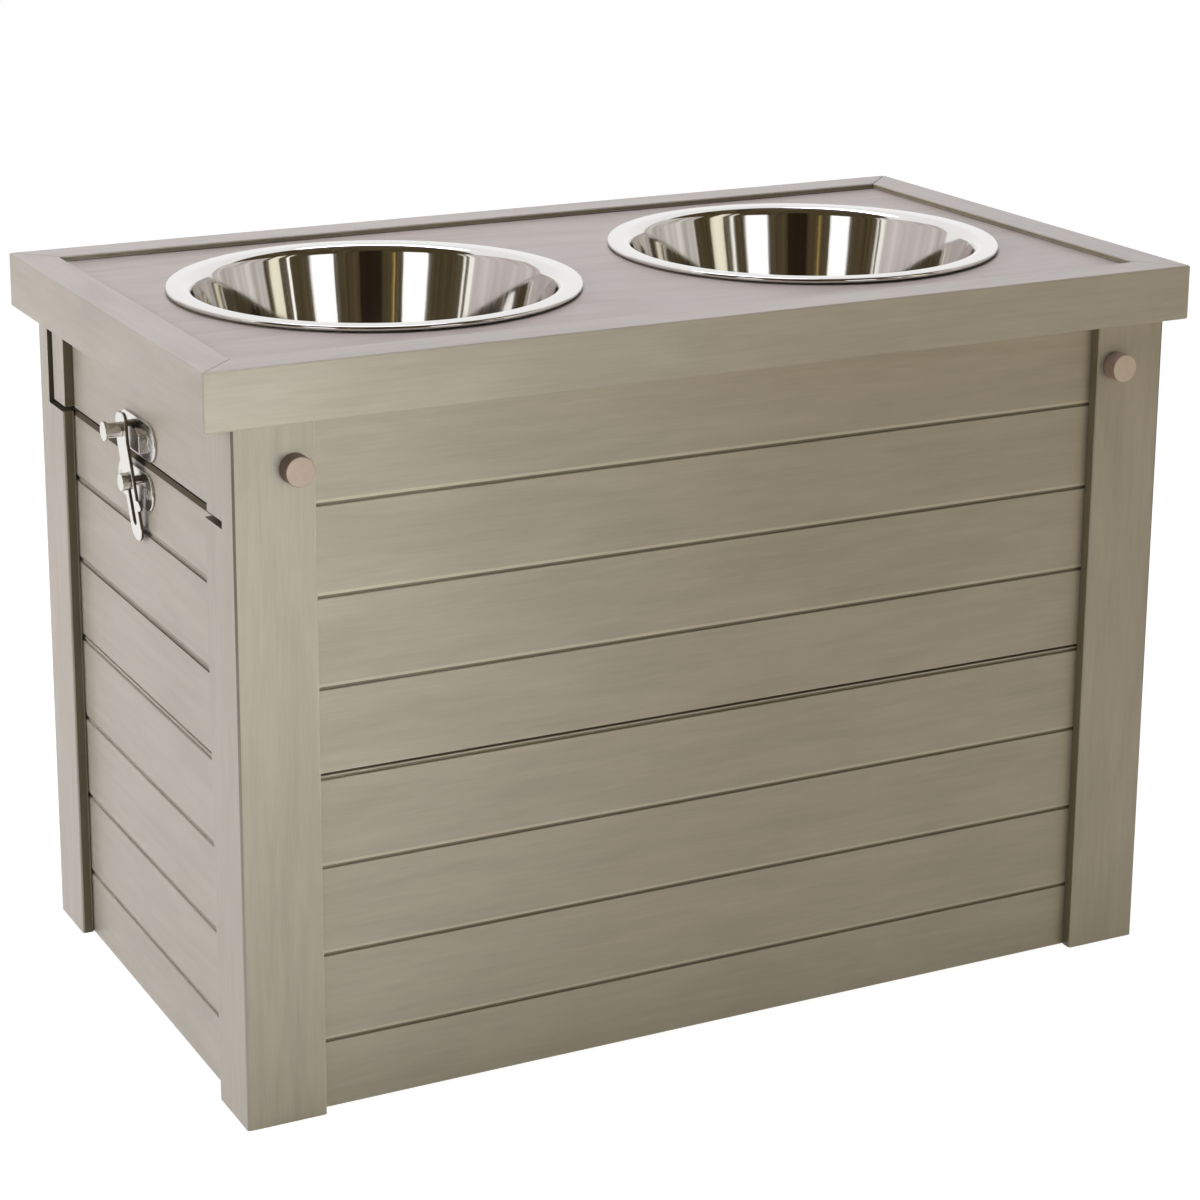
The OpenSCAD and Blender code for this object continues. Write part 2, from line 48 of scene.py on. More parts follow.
# Directions of a board's faces, with X and Y pointing away from the feeder's middle
OUT_X: Direction = (1.0, 0.0, 0.0)
IN_X: Direction = (-1.0, 0.0, 0.0)
OUT_Y: Direction = (0.0, 1.0, 0.0)
IN_Y: Direction = (0.0, -1.0, 0.0)
UP: Direction = (0.0, 0.0, 1.0)
DOWN: Direction = (0.0, 0.0, -1.0)
OUTER_CORNER: Direction = (0.7, 0.7, 0.0)
INNER_EDGE: Direction = (-0.7, 0.7, 0.0)
# The chamfer over a plank line, on the long sides and on the ends
SIDE_CHAMFER: Direction = (0.0, 0.82, -0.57)
END_CHAMFER: Direction = (0.82, 0.0, -0.57)
# The chamfer along the top of the end panels
TOP_CHAMFER: Direction = (0.77, 0.0, 0.64)

LEFT_RIGHT = ("left", "right")
FRONT_REAR = ("front", "rear")

# Depths in a board from its face, in millimetres: its skin, the bottoms of the
# plank lines and whatever lies behind the gap between two panels
SKIN = (0.0, 0.5)
LINE_BOTTOM = (1.2, math.inf)
GAP_BOTTOM = (3.0, math.inf)

log = logging.getLogger("feeder")


# ------------------------------------------------------------------ small tools


def linear(colour: str) -> tuple[float, float, float, float]:
    """Turns an sRGB hex colour into linear light.

    Args:
        colour: The colour as "#RRGGBB".

    Returns:
        Linear red, green, blue and an alpha of 1.
    """

    def channel(value: int) -> float:
        """Turns one 8-bit channel to linear."""
        share = value / 255
        return share / 12.92 if share <= 0.04045 else ((share + 0.055) / 1.055) ** 2.4

    return (*(channel(int(colour[i : i + 2], 16)) for i in (1, 3, 5)), 1.0)


def add_node(
    tree: NodeTree,
    kind: str,
    inputs: Mapping[str | int, object] | None = None,
    **settings: object,
) -> Node:
    """Adds a node with its settings, values and links.

    Args:
        tree: The node tree that takes the node.
        kind: The node's type name.
        inputs: For each input socket, the value that it holds or the output
            that is linked to it.
        settings: Properties of the node itself.

    Returns:
        The new node.
    """
    node = tree.nodes.new(kind)
    for name, value in settings.items():
        setattr(node, name, value)
    for socket, value in (inputs or {}).items():
        if isinstance(value, NodeSocket):
            tree.links.new(value, node.inputs[socket])
        else:
            node.inputs[socket].default_value = value
    return node


def blank_material(name: str) -> tuple[Material, NodeTree]:
    """Makes a material with an empty node tree.

    Args:
        name: The material's name.

    Returns:
        The material and its tree.
    """
    material = bpy.data.materials.new(name)
    material.use_nodes = True
    material.node_tree.nodes.clear()
    return material, material.node_tree


def close_surface(tree: NodeTree, shader: Node) -> None:
    """Links a shader to a new surface output.

    Args:
        tree: The material's tree.
        shader: The node whose first output is the surface.
    """
    add_node(tree, "ShaderNodeOutputMaterial", {"Surface": shader.outputs[0]})


def new_object(name: str, mesh: Mesh, at: Vector | None = None) -> Object:
    """Puts a mesh into the scene.

    Args:
        name: The object's name.
        mesh: Its mesh.
        at: The place of its origin, or None for the frame's origin.

    Returns:
        The new object.
    """
    obj = bpy.data.objects.new(name, mesh)
    bpy.context.scene.collection.objects.link(obj)
    if at is not None:
        obj.location = at
    return obj


def mesh_from(name: str, work: bmesh.types.BMesh) -> Mesh:
    """Turns worked geometry into a smooth-shaded mesh and frees the work.

    Args:
        name: The mesh's name.
        work: The geometry.

    Returns:
        The mesh.
    """
    bmesh.ops.recalc_face_normals(work, faces=work.faces)
    for face in work.faces:
        face.smooth = True
    mesh = bpy.data.meshes.new(name)
    work.to_mesh(mesh)
    work.free()
    return mesh


def weight_normals(obj: Object, sharp_deg: float = 40.0) -> None:
    """Keeps flat faces flat and lets only the rounded edges shade round.

    Args:
        obj: The piece.
        sharp_deg: Edges that turn by more than this stay sharp.
    """
    obj.data.set_sharp_from_angle(angle=math.radians(sharp_deg))
    shade = obj.modifiers.new("even shading", "WEIGHTED_NORMAL")
    shade.keep_sharp = True
    shade.weight = 100


def rounded(points: Sequence[Point], radius: float, steps: int = 5) -> list[Point]:
    """Rounds the corners of an open line of points.

    Args:
        points: The line's points.
        radius: The radius wanted; a corner between short stretches gets less.
        steps: Stretches in each rounded corner.

    Returns:
        The line with its inner corners rounded.
    """
    line = [Vector(p) for p in points]
    out: list[Point] = [tuple(line[0])]
    for before, here, after in zip(line, line[1:], line[2:]):
        back, ahead = before - here, after - here
        turn = back.angle(ahead)
        if turn > math.radians(175):
            out.append(tuple(here))
            continue
        reach = min(
            radius / math.tan(turn / 2), back.length * 0.49, ahead.length * 0.49
        )
        start = here + back.normalized() * reach
        end = here + ahead.normalized() * reach
        for step in range(steps + 1):
            t = step / steps
            bent = start * (1 - t) ** 2 + here * 2 * t * (1 - t) + end * t**2
            out.append(tuple(bent))
    out.append(tuple(line[-1]))
    return out


def lathe(name: str, profile: Sequence[Point], segments: int) -> Mesh:
    """Turns a profile about the local Z axis.

    Args:
        name: The mesh's name.
        profile: Radius and height of each point. A radius of 0 closes the mesh.
        segments: Facets round the axis.

    Returns:
        The mesh.
    """
    work = bmesh.new()
    rings: list[list[bmesh.types.BMVert]] = []
    for radius, height in profile:
        count = segments if radius > 1e-7 else 1
        rings.append(
            [
                work.verts.new(
                    (
                        radius * math.cos(2 * math.pi * i / segments),
                        radius * math.sin(2 * math.pi * i / segments),
                        height,
                    )
                )
                for i in range(count)
            ]
        )
    for low, high in zip(rings, rings[1:]):
        for i in range(segments):
            j = (i + 1) % segments
            corners = [low[i % len(low)], low[j % len(low)]]
            corners += [high[j % len(high)], high[i % len(high)]]
            single = list(dict.fromkeys(corners))
            if len(single) > 2:
                work.faces.new(single)
    return mesh_from(name, work)


# ------------------------------------------------------------------ finishes


class Grain(Enum):
    """Direction in which a board was extruded and brushed, as an axis number."""

    LENGTH = 0
    DEPTH = 1
    HEIGHT = 2


@dataclass(frozen=True)
class CompositeBoard:
    """Wood-and-plastic composite, extruded as a board and brushed.

    The resin skin is satin, with an IOR of about 1.5. Brushing leaves faint fine
    streaks along the board, over soft bands and clouds from the wood flour.
    """

    name: str
    grain: Grain
    pale: str = "#BCB6A8"
    dark: str = "#ACA698"
    # A brushed streak is about half a millimetre wide. It is drawn at over twice
    # that, which is the finest that shows in the render.
    streak_mm: float = 1.2
    streak_length_mm: float = 26.0
    band_mm: float = 5.0
    band_length_mm: float = 70.0
    cloud_mm: float = 21.0
    cloud_length_mm: float = 85.0
    relief_mm: float = 0.03
    roughness: float = 0.36
    # Shares of streaks, bands and clouds in the tone
    shares: tuple[float, float, float] = (0.25, 0.34, 0.41)

    def stretched(
        self, tree: NodeTree, across_mm: float, along_mm: float, wander: float = 0.0
    ) -> NodeSocket:
        """Makes noise that is drawn out along the grain.

        Args:
            tree: The material's tree.
            across_mm: Width of a feature across the grain.
            along_mm: Its length along the grain.
            wander: How far the features stray from straight lines.

        Returns:
            The noise's value, from 0 to 1.
        """
        place = add_node(tree, "ShaderNodeTexCoord")
        scale = [1 / (across_mm * MM)] * 3
        scale[self.grain.value] = 1 / (along_mm * MM)
        drawn = add_node(tree, "ShaderNodeMapping", {
            "Vector": place.outputs["Object"], "Scale": scale,
        })
        noise = add_node(tree, "ShaderNodeTexNoise", {
            "Vector": drawn.outputs[0], "Scale": 1.0, "Detail": 3.0, "Roughness": 0.55,
            "Distortion": wander,
        })
        return noise.outputs["Fac"]

    def tone(self, tree: NodeTree) -> tuple[NodeSocket, NodeSocket]:
        """Mixes streaks, bands and clouds.

        Args:
            tree: The material's tree.

        Returns:
            The tone from 0, dark, to 1, pale, and the fine streaks alone.
        """
        streaks = self.stretched(tree, self.streak_mm, self.streak_length_mm)
        bands = self.stretched(tree, self.band_mm, self.band_length_mm, wander=0.4)
        clouds = self.stretched(tree, self.cloud_mm, self.cloud_length_mm, wander=0.5)
        total: NodeSocket | float = 0.0
        for value, share in zip((streaks, bands, clouds), self.shares):
            part = add_node(
                tree, "ShaderNodeMath", {0: value, 1: share, 2: total},
                operation="MULTIPLY_ADD",
            )
            total = part.outputs[0]
        spread = add_node(tree, "ShaderNodeMapRange", {
            "Value": total, "From Min": 0.36, "From Max": 0.64,
        })
        return spread.outputs[0], streaks

    def material(self) -> Material:
        """Builds the material."""
        material, tree = blank_material(self.name)
        tone, streaks = self.tone(tree)
        colour = add_node(
            tree, "ShaderNodeMix",
            {"Factor": tone, "A": linear(self.dark), "B": linear(self.pale)},
            data_type="RGBA",
        )
        gloss = add_node(tree, "ShaderNodeMapRange", {
            "Value": streaks, "From Min": 0.3, "From Max": 0.7,
            "To Min": self.roughness - 0.06, "To Max": self.roughness + 0.08,
        })
        relief = add_node(tree, "ShaderNodeBump", {
            "Height": streaks, "Strength": 0.3, "Distance": self.relief_mm * MM,
        })
        shader = add_node(tree, "ShaderNodeBsdfPrincipled", {
            "Base Color": colour.outputs["Result"], "Roughness": gloss.outputs[0],
            "Normal": relief.outputs[0], "IOR": 1.5,
        })
        close_surface(tree, shader)
        return material


@dataclass(frozen=True)
class FlamedBoard(CompositeBoard):
    """The same composite with a printed and embossed flame grain, for the lid's top.

    Long wavy lines wander along the board, a few millimetres apart.
    """

    # Size of the figure that the lines run round, across and along the board
    figure_mm: float = 85.0
    figure_length_mm: float = 420.0
    # How far the lines' phase turns over the whole figure, in radians
    turns: float = 52.0
    # How strongly the lines show over the brushed tone
    lines_share: float = 0.33

    def tone(self, tree: NodeTree) -> tuple[NodeSocket, NodeSocket]:
        """Lays the flame lines over the brushed tone.

        Args:
            tree: The material's tree.

        Returns:
            The tone from 0, dark, to 1, pale, and the streaks with the flame lines.
        """
        tone, streaks = super().tone(tree)
        place = add_node(tree, "ShaderNodeTexCoord")
        across, along = 1 / (self.figure_mm * MM), 1 / (self.figure_length_mm * MM)
        drawn = add_node(tree, "ShaderNodeMapping", {
            "Vector": place.outputs["Object"], "Scale": (along, across, across),
        })
        figure = add_node(tree, "ShaderNodeTexNoise", {
            "Vector": drawn.outputs[0], "Scale": 1.0, "Detail": 2.0, "Roughness": 0.35,
        })
        phase = add_node(
            tree, "ShaderNodeMath", {0: figure.outputs["Fac"], 1: self.turns},
            operation="MULTIPLY",
        )
        wave = add_node(tree, "ShaderNodeMath", {0: phase.outputs[0]}, operation="SINE")
        lines = add_node(tree, "ShaderNodeMapRange", {
            "Value": wave.outputs[0], "From Min": -1.0, "From Max": 0.2,
        })
        laid = add_node(
            tree, "ShaderNodeMix",
            {"Factor": self.lines_share, "A": tone, "B": lines.outputs[0]},
            data_type="FLOAT",
        )
        return laid.outputs["Result"], streaks


@dataclass(frozen=True)
class CornerShade(CompositeBoard):
    """The outer corner of a post, painted darker: painted shade.

    The painted shade is strongest at the top and fades out towards the foot.
    """

    foot_mm: float = 25.0
    top_mm: float = 300.0

    def tone(self, tree: NodeTree) -> tuple[NodeSocket, NodeSocket]:
        """Turns from the painted shade's tone at the top to the board's at the foot.

        Args:
            tree: The material's tree.

        Returns:
            The tone from 0, painted shade, to 1, board, and the fine streaks.
        """
        streaks = self.stretched(tree, self.streak_mm, self.streak_length_mm)
        place = add_node(tree, "ShaderNodeTexCoord")
        parts = add_node(
            tree, "ShaderNodeSeparateXYZ", {"Vector": place.outputs["Object"]}
        )
        fade = add_node(tree, "ShaderNodeMapRange", {
            "Value": parts.outputs["Z"], "From Min": self.foot_mm * MM,
            "From Max": self.top_mm * MM, "To Min": 1.0, "To Max": 0.0,
        })
        return fade.outputs[0], streaks


@dataclass(frozen=True)
class SpunSteel:
    """Stainless steel, spun on a lathe and polished.

    The polish leaves hair lines round the axis and faint drawing lines down the
    wall, so reflections are sharp but a little smeared.
    """

    name: str
    colour: str = "#E3E1DE"
    roughness: float = 0.07
    # Drawing lines lie about a degree apart round the bowl
    lines_per_turn: float = 300.0
    relief_mm: float = 0.01
    # The sheet is never quite even, so straight reflections waver
    waver_mm: float = 28.0
    waver_relief_mm: float = 0.07

    def material(self) -> Material:
        """Builds the material."""
        material, tree = blank_material(self.name)
        place = add_node(tree, "ShaderNodeTexCoord")
        flat = add_node(
            tree, "ShaderNodeVectorMath",
            {0: place.outputs["Object"], 1: (1.0, 1.0, 0.0)}, operation="MULTIPLY",
        )
        round_axis = add_node(
            tree, "ShaderNodeVectorMath", {0: flat.outputs[0]}, operation="NORMALIZE"
        )
        drawn = add_node(
            tree, "ShaderNodeVectorMath",
            {0: round_axis.outputs[0], "Scale": self.lines_per_turn / (2 * math.pi)},
            operation="SCALE",
        )
        lines = add_node(tree, "ShaderNodeTexNoise", {
            "Vector": drawn.outputs[0], "Scale": 1.0, "Detail": 2.0,
        })
        gloss = add_node(tree, "ShaderNodeMapRange", {
            "Value": lines.outputs["Fac"], "From Min": 0.3, "From Max": 0.7,
            "To Min": self.roughness * 0.7, "To Max": self.roughness * 1.5,
        })
        relief = add_node(tree, "ShaderNodeBump", {
            "Height": lines.outputs["Fac"], "Strength": 0.4,
            "Distance": self.relief_mm * MM,
        })
        uneven = add_node(tree, "ShaderNodeTexNoise", {
            "Vector": place.outputs["Object"], "Scale": 1 / (self.waver_mm * MM),
            "Detail": 1.0,
        })
        waver = add_node(tree, "ShaderNodeBump", {
            "Height": uneven.outputs["Fac"], "Strength": 1.0,
            "Distance": self.waver_relief_mm * MM, "Normal": relief.outputs[0],
        })
        shader = add_node(tree, "ShaderNodeBsdfPrincipled", {
            "Base Color": linear(self.colour), "Metallic": 1.0,
            "Roughness": gloss.outputs[0], "Normal": waver.outputs[0],
        })
        close_surface(tree, shader)
        return material


@dataclass(frozen=True)
class PlatedSteel:
    """Pressed steel, nickel- or zinc-plated and tumbled.

    Tumbling leaves a fine unevenness, so the mirror is soft and slightly rippled.
    """

    name: str
    colour: str = "#D6D3CC"
    roughness: float = 0.16
    ripple_mm: float = 2.5
    relief_mm: float = 0.01

    def material(self) -> Material:
        """Builds the material."""
        material, tree = blank_material(self.name)
        place = add_node(tree, "ShaderNodeTexCoord")
        ripple = add_node(tree, "ShaderNodeTexNoise", {
            "Vector": place.outputs["Object"], "Scale": 1 / (self.ripple_mm * MM),
            "Detail": 3.0,
        })
        gloss = add_node(tree, "ShaderNodeMapRange", {
            "Value": ripple.outputs["Fac"], "From Min": 0.3, "From Max": 0.7,
            "To Min": self.roughness * 0.7, "To Max": self.roughness * 1.5,
        })
        relief = add_node(tree, "ShaderNodeBump", {
            "Height": ripple.outputs["Fac"], "Strength": 0.3,
            "Distance": self.relief_mm * MM,
        })
        shader = add_node(tree, "ShaderNodeBsdfPrincipled", {
            "Base Color": linear(self.colour), "Metallic": 1.0,
            "Roughness": gloss.outputs[0], "Normal": relief.outputs[0],
        })
        close_surface(tree, shader)
        return material


@dataclass(frozen=True)
class MouldedPlastic:
    """ABS, injection-moulded with a fine spark-eroded grain: matt and even."""

    name: str
    pale: str = "#C4B2A4"
    dark: str = "#B2A092"
    mottle_mm: float = 3.0
    relief_mm: float = 0.03
    roughness: float = 0.55

    def material(self) -> Material:
        """Builds the material."""
        material, tree = blank_material(self.name)
        place = add_node(tree, "ShaderNodeTexCoord")
        mottle = add_node(tree, "ShaderNodeTexNoise", {
            "Vector": place.outputs["Object"], "Scale": 1 / (self.mottle_mm * MM),
            "Detail": 4.0,
        })
        colour = add_node(
            tree, "ShaderNodeMix",
            {
                "Factor": mottle.outputs["Fac"], "A": linear(self.dark),
                "B": linear(self.pale),
            },
            data_type="RGBA",
        )
        relief = add_node(tree, "ShaderNodeBump", {
            "Height": mottle.outputs["Fac"], "Strength": 0.4,
            "Distance": self.relief_mm * MM,
        })
        shader = add_node(tree, "ShaderNodeBsdfPrincipled", {
            "Base Color": colour.outputs["Result"], "Roughness": self.roughness,
            "Normal": relief.outputs[0], "IOR": 1.53,
        })
        close_surface(tree, shader)
        return material


class Finishes:
    """The feeder's finishes, each built once."""

    def __init__(self) -> None:
        """Builds every material."""

        def board(name: str, grain: Grain, *colours: str, **look: float) -> Material:
            """Builds the material of a board."""
            return CompositeBoard(name, grain, *colours, **look).material()

        self.board: dict[Grain, Material] = {
            grain: board(f"composite_board_{grain.name.lower()}", grain)
            for grain in Grain
        }
        # The chamfers over the plank lines and the posts' inner edges are painted paler
        # than the board: painted highlight
        self.chamfer_highlight = board("chamfer_painted_highlight", Grain.LENGTH, "#CFCBBA", "#C3BFAE")
        self.post_edge = board("post_edge_painted_highlight", Grain.HEIGHT, "#C6C0B2", "#B9B3A5")
        # The bottoms and up-facing faces of the plank lines are painted darker on the
        # long sides, painted shade, and paler than the board on the ends, painted light
        self.line = board("plank_line_painted_shade", Grain.LENGTH, "#8A8270", "#7F7766")
        self.end_line = board("end_line_painted_light", Grain.DEPTH, "#C4BEB0", "#B9B3A5")
        # The chamfers over the end panels' plank lines are painted darker than the
        # board, and the chamfer along the end panels' top darker still: painted shade
        self.end_chamfer_shade = board("end_chamfer_painted_shade", Grain.DEPTH, "#938C80", "#898276")
        self.top_chamfer_shade = board(
            "top_chamfer_painted_shade", Grain.DEPTH, "#655B4B", "#544A3B", roughness=0.95
        )
        # Faces behind the gap between panels, the end panels' tops under the skirt and
        # the skirts' undersides are painted near black: painted shade
        self.gap_shade = board(
            "gap_painted_shade", Grain.DEPTH, "#1E1812", "#17120D", roughness=0.95
        )
        # The inner sides of the posts and of the lid's frame boards are painted
        # olive-brown:
        # painted shade
        self.core = board("inner_side_painted_shade", Grain.HEIGHT, "#928A6E", "#7F775C")
        # Other faces in deep shade, on the posts and the skirts, are painted darker
        # still:
        # painted shade
        self.deep_shade = board("deep_painted_shade", Grain.HEIGHT, "#756E58", "#665F49")
        # The outward faces of the lid's front and rear boards are painted paler:
        # painted light
        self.lid_front = board("lid_outer_face_painted_light", Grain.LENGTH, "#C6C1B6", "#B6B1A5")
        # The posts' outer corners, painted darker towards the top: painted shade
        self.corner = CornerShade(
            "corner_painted_shade", Grain.HEIGHT, "#B0A99B", "#6E655A"
        ).material()
        self.inner: dict[Grain, Material] = {
            grain: board(
                f"inner_board_{grain.name.lower()}", grain, "#AAA298", "#8D867C"
            )
            for grain in (Grain.LENGTH, Grain.DEPTH)
        }
        self.lid_top = FlamedBoard(
            "flamed_lid_board", Grain.LENGTH, "#BBB2A5", "#A79E90"
        ).material()
        self.bowl = SpunSteel("spun_stainless_steel").material()
        self.latch = PlatedSteel("plated_pressed_steel").material()
        # The latch bars' edges and backs are painted dark brown, painted shade, with a
        # rougher gloss
        self.bar_shade = PlatedSteel(
            "bar_back_painted_shade", colour="#6F675A", roughness=0.35
        ).material()
        self.screw = PlatedSteel(
            "zinc_plated_screw", colour="#C4C1BA", roughness=0.24
        ).material()
        self.peg = MouldedPlastic("moulded_abs_peg").material()
        # The sides of the pegs' heads are painted darker than their faces: painted
        # shade
        self.peg_side = MouldedPlastic(
            "abs_peg_side_painted_shade", "#7A6656", "#655344"
        ).material()
        # The right-hand pegs are painted paler, faces and sides: painted light
        self.pale_peg = MouldedPlastic("abs_peg_painted_light", "#E4D6CA", "#D2C3B6").material()
        self.pale_peg_side = MouldedPlastic(
            "abs_peg_side_painted_shade_and_light", "#C0A596", "#A88E7F"
        ).material()


# ------------------------------------------------------------------ boards

# Points of a CAD mesh closer than this, in metres, are one, and faces that turn by
# less than this are one flat face
SAME_POINT = 1e-5
SAME_PLANE_DEG = 0.5


@dataclass(frozen=True)
class Edging:
    """How a board's edges are eased."""

    radius_mm: float = 1.2
    steps: int = 3
    # Edges shorter than this, such as the facets of a bore, are left alone
    shortest_mm: float = 3.0
    # Only edges that turn by more than this are eased
    turn_deg: float = 50.0


def eased_board(node: str, name: str, edging: Edging) -> Object:
    """Copies a CAD board and eases its long outer edges.

    Args:
        node: The CAD node that gives the solid.
        name: The piece's name.
        edging: How the edges are eased.

    Returns:
        The piece, standing where the node is.
    """
    work = bmesh.new()
    work.from_mesh(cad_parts[node].data)
    bmesh.ops.remove_doubles(work, verts=work.verts, dist=SAME_POINT)
    bmesh.ops.dissolve_limit(
        work, angle_limit=math.radians(SAME_PLANE_DEG), verts=work.verts,
        edges=work.edges,
    )
    work.normal_update()
    chosen = [
        edge
        for edge in work.edges
        if len(edge.link_faces) == 2
        and edge.is_convex
        and edge.calc_length() > edging.shortest_mm * MM
        and edge.calc_face_angle() > math.radians(edging.turn_deg)
    ]
    bmesh.ops.bevel(
        work, geom=chosen, offset=edging.radius_mm * MM, offset_type="OFFSET",
        segments=edging.steps, profile=0.5, affect="EDGES", clamp_overlap=True,
    )
    piece = new_object(name, mesh_from(name, work))
    spare = piece.data.attributes.get("custom_normal")
    if spare:
        piece.data.attributes.remove(spare)
    weight_normals(piece)
    return piece


@dataclass(frozen=True)
class Trim:
    """Faces of a board that have a finish of their own, told by their direction."""

    finish: Material
    towards: Direction
    spread_deg: float = 25.0
    # Only faces that lie this deep in the board, from and to
    depth_mm: tuple[float, float] = (0.0, math.inf)

    def covers(self, face: bpy.types.MeshPolygon, low: Vector, high: Vector) -> bool:
        """Tells whether a face belongs to the trim.

        Args:
            face: The face.
            low: The board's lowest corner.
            high: Its highest corner.

        Returns:
            Whether it does.
        """
        middle = (low + high) / 2
        axis = max(range(3), key=lambda i: abs(face.normal[i]))
        side = high if face.normal[axis] > 0 else low
        least, most = self.depth_mm
        if not least <= abs(side[axis] - face.center[axis]) / MM <= most:
            return False
        facing = Vector(
            (
                math.copysign(self.towards[0], self.towards[0] * middle.x),
                math.copysign(self.towards[1], self.towards[1] * middle.y),
                self.towards[2],
            )
        )
        return facing.angle(face.normal) < math.radians(self.spread_deg)


def dress(
    piece: Object, node: str, finish: Material, trims: Sequence[Trim] = ()
) -> None:
    """Gives a piece its finish, and its trims theirs.

    Args:
        piece: The piece.
        node: The CAD node that it stands for.
        finish: The finish of its faces.
        trims: Faces with a finish of their own.
    """
    low, high = (Vector(corner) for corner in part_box(node))
    piece.data.materials.clear()
    for material in (finish, *(trim.finish for trim in trims)):
        piece.data.materials.append(material)
    for face in piece.data.polygons:
        for index, trim in enumerate(trims, 1):
            if trim.covers(face, low, high):
                face.material_index = index


@dataclass
class Boarding:
    """A group of boards of one body: what each stands for and how it is finished."""

    body: str
    slot: str
    finish: Mapping[Grain, Material]
    edging: Edging
    boards: Mapping[str, Grain]
    trims: Sequence[Trim] = ()

    def build(self) -> list[Object]:
        """Builds and dresses every board of the group."""
        pieces = []
        for node, grain in self.boards.items():
            piece = eased_board(node, f"{node}_board", self.edging)
            dress(piece, node, self.finish[grain], self.trims)
            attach(piece, self.body)
            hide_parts(node)
            pieces.append(piece)
        return pieces


class BoardedPart:
    """A sub-assembly that is made of groups of boards."""

    groups: Sequence[Boarding]

    def build(self) -> list[Object]:
        """Builds every board of every group."""
        return [piece for group in self.groups for piece in group.build()]


class StorageBox(BoardedPart):
    """Posts, panels, floor and cleats of the storage box."""

    def __init__(self, finishes: Finishes) -> None:
        """Lists the boards with their grain.

        Args:
            finishes: The feeder's finishes.
        """
        posts = {
            f"post_{end}_{side}": Grain.HEIGHT
            for end in FRONT_REAR
            for side in LEFT_RIGHT
        }
        sides = {
            f"{wall}_panel_{part}": Grain.LENGTH
            for wall in FRONT_REAR
            for part in ("lower", "upper")
        }
        ends_low = {f"{wall}_panel_lower": Grain.DEPTH for wall in LEFT_RIGHT}
        ends_high = {f"{wall}_panel_upper": Grain.DEPTH for wall in LEFT_RIGHT}
        inside = {
            "floor_panel": Grain.LENGTH, "floor_cleat_front": Grain.LENGTH,
            "floor_cleat_rear": Grain.LENGTH,
        }
        outer = finishes.board
        slat_edging = Edging(0.5, 2, turn_deg=80)
        end_edging = Edging(0.8, 3, turn_deg=80)
        # End panels: painted shade on the chamfers over the plank lines, painted light
        # in the lines' bottoms and on up-facing faces
        end_lines = (
            Trim(finishes.end_chamfer_shade, END_CHAMFER),
            Trim(finishes.end_line, OUT_X, 10, LINE_BOTTOM),
            Trim(finishes.end_line, UP, 10),
        )
        self.groups = [
            # Posts: painted shade on the outer corners, the inner sides and the
            # rebates, and a painted highlight on the inner edges
            Boarding("box", "board", outer, Edging(1.2, 3, shortest_mm=200.0), posts, (
                Trim(finishes.corner, OUTER_CORNER, 35),
                Trim(finishes.post_edge, INNER_EDGE, 35),
                Trim(finishes.core, IN_X, 10),
                Trim(finishes.deep_shade, IN_Y, 10),
                Trim(finishes.deep_shade, UP, 10),
            )),
            # Long sides: painted highlight on the chamfers, painted shade in the lines,
            # on up-facing faces and behind the gap between the panels
            Boarding("box", "board", outer, slat_edging, sides, (
                Trim(finishes.chamfer_highlight, SIDE_CHAMFER),
                Trim(finishes.line, OUT_Y, 10, LINE_BOTTOM),
                Trim(finishes.gap_shade, OUT_Y, 10, GAP_BOTTOM),
                Trim(finishes.line, UP, 10),
            )),
            Boarding("box", "board", outer, end_edging, ends_low, end_lines),
            # Upper end panels: painted shade on the top chamfer, and near black on the
            # top face under the skirt
            Boarding("box", "board", outer, end_edging, ends_high, (
                *end_lines,
                Trim(finishes.top_chamfer_shade, TOP_CHAMFER),
                Trim(finishes.gap_shade, UP, 10, SKIN),
            )),
            Boarding("box", "inner_board", finishes.inner, Edging(0.8, 2), inside),
        ]


class Lid(BoardedPart):
    """Mitred frame, recessed top, batten, skirts and stiles of the lid."""

    def __init__(self, finishes: Finishes) -> None:
        """Lists the boards with their grain.

        Args:
            finishes: The feeder's finishes.
        """
        frame_boards = {
            "lid_frame_front": Grain.LENGTH, "lid_frame_rear": Grain.LENGTH,
            "lid_frame_left": Grain.DEPTH, "lid_frame_right": Grain.DEPTH,
        }
        skirts = {
            "skirt_left": Grain.DEPTH, "skirt_right": Grain.DEPTH,
            "skirt_stiles_left": Grain.HEIGHT, "skirt_stiles_right": Grain.HEIGHT,
        }
        top = {"lid_top": Grain.LENGTH}
        batten = {"lid_batten": Grain.DEPTH}
        outer = finishes.board
        flamed = {Grain.LENGTH: finishes.lid_top}
        self.groups = [
            # Lid frame: painted shade on the inner sides, and painted light on the
            # outward faces of the front and rear boards
            Boarding("lid", "lid_board", outer, Edging(0.9, 3), frame_boards, (
                Trim(finishes.core, IN_X, 10),
                Trim(finishes.core, IN_Y, 10),
                Trim(finishes.lid_front, OUT_Y, 20),
            )),
            # Skirts and stiles: painted shade, near black on the undersides and dark on
            # the faces towards front and rear
            Boarding("lid", "board", outer, Edging(0.3, 2), skirts, (
                Trim(finishes.gap_shade, DOWN, 10),
                Trim(finishes.deep_shade, OUT_Y, 10),
                Trim(finishes.deep_shade, IN_Y, 10),
            )),
            Boarding("lid", "lid_board", flamed, Edging(0.8, 2), top),
            Boarding("lid", "inner_board", finishes.inner, Edging(0.8, 2), batten),
        ]


# ------------------------------------------------------------------ bowls


